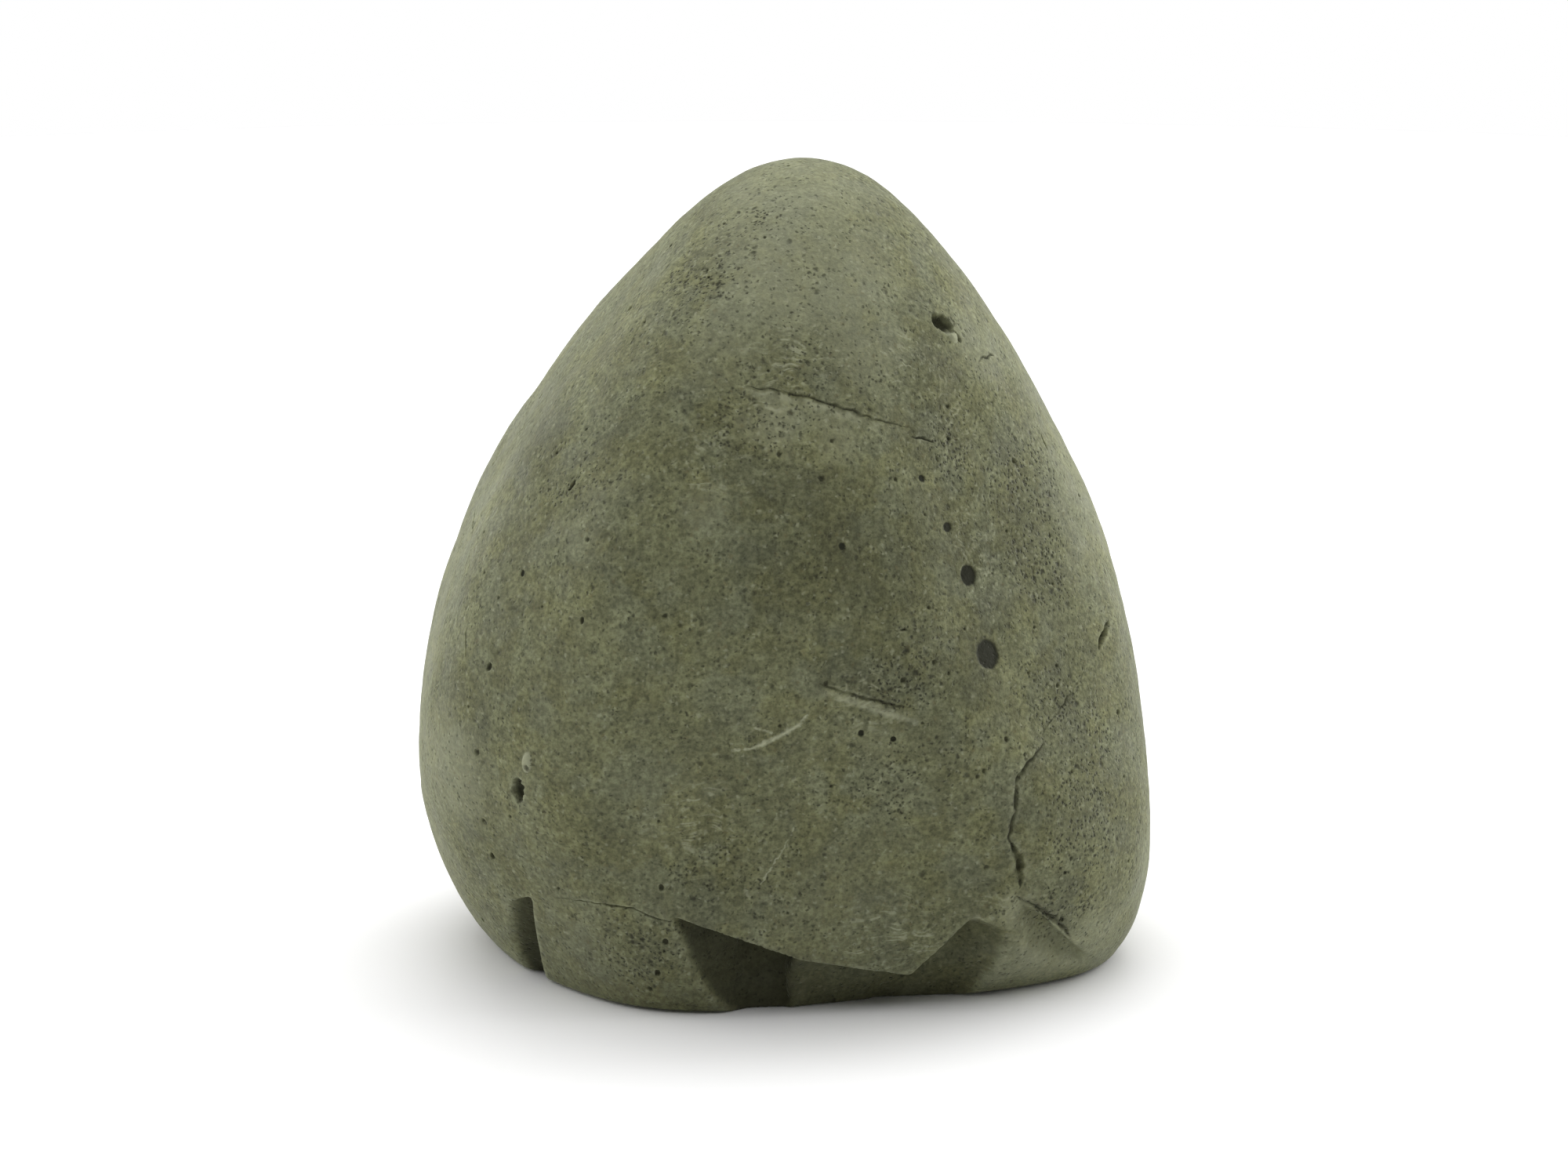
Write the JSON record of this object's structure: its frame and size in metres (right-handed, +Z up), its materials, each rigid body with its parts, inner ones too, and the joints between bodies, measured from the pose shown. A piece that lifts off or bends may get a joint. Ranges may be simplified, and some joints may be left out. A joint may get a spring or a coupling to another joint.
{
  "type": "rounded volcanic stone, the closed outside of a geode",
  "caption": "Upright grey-green stone, worn smooth, with cracks and broken hollows at its foot, resting on a flat base.",
  "frame": {"origin": "on the ground, under the middle of the stone's bounding box", "axes": "+Z up; -Y is the front, the side with the overhanging shield; +X is to the right of someone facing the front"},
  "size_m": [0.1852, 0.1482, 0.2005],
  "materials": {
    "stone": "matt, worn smooth, finely pitted"
  },
  "bodies": {
    "root": {"stone": "stone"}
  },
  "joints": []
}
